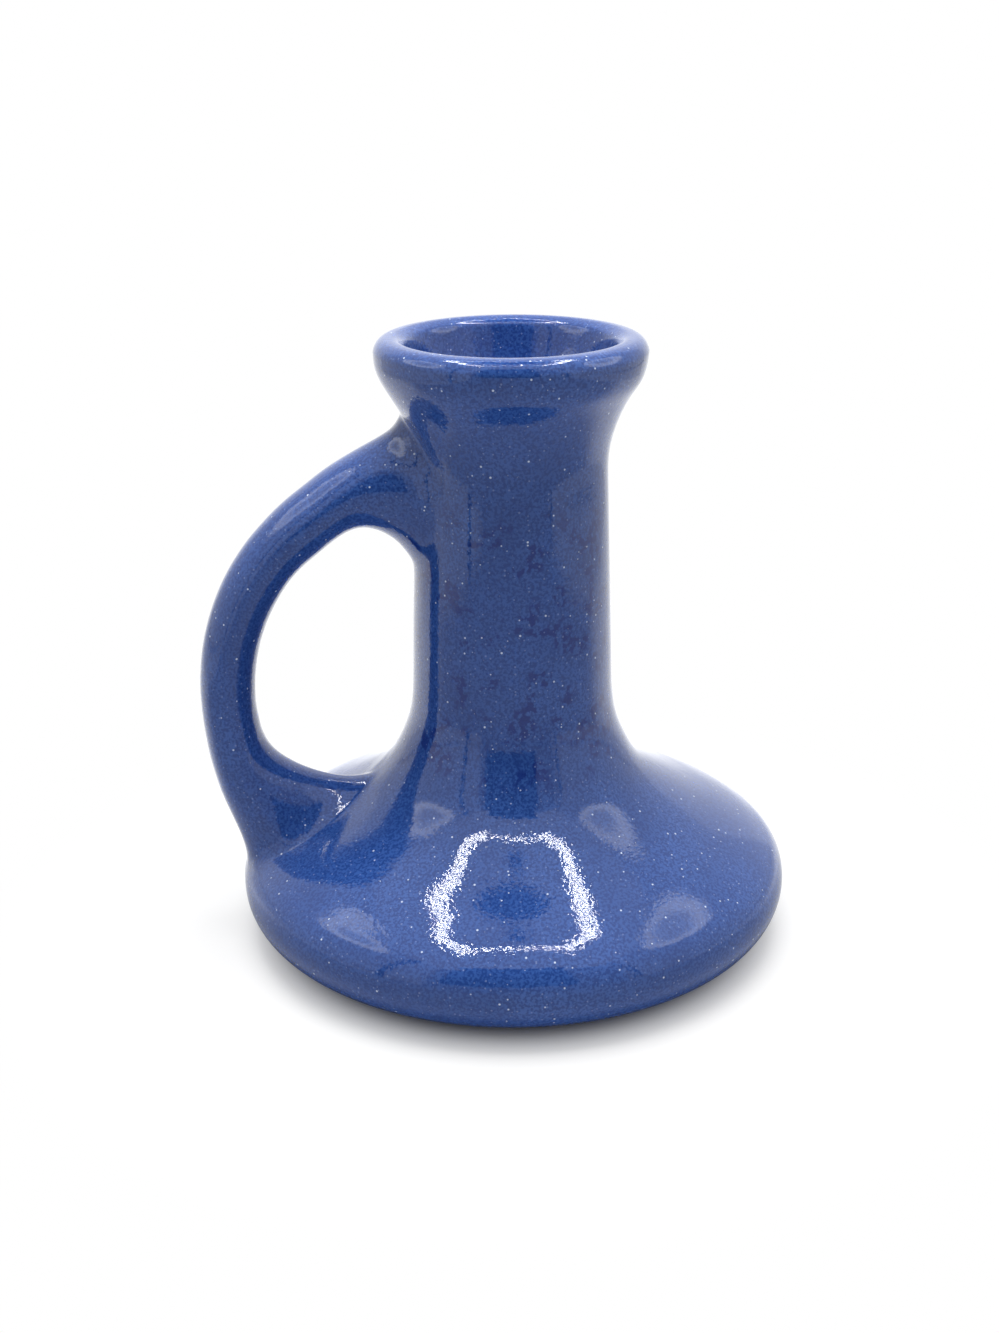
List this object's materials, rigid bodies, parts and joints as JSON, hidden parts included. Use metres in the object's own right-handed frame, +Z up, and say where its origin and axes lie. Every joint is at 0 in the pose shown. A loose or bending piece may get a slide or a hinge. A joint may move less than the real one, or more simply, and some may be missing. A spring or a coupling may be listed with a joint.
{
  "type": "chamberstick",
  "caption": "Glazed stoneware chamberstick: squat hollow base, flared column with a socket for a taper candle, and a finger loop.",
  "frame": {"origin": "on the turned axis, in the plane that the foot stands on", "axes": "+Z up along the turned axis; the finger loop lies along -X, in the XZ plane"},
  "size_m": [0.1165, 0.11, 0.1197],
  "materials": {
    "stoneware": "unglazed brown stoneware, matt and slightly gritty",
    "blue_glaze": "glossy cobalt blue glaze with fine white specks"
  },
  "bodies": {
    "root": {"base_dish": "stoneware", "column": "stoneware", "seam_coil": "stoneware", "socket_plug": "stoneware", "finger_loop": "stoneware", "upper_handle_clay": "stoneware", "lower_handle_clay": "stoneware", "glaze_coat": "blue_glaze"}
  },
  "joints": []
}
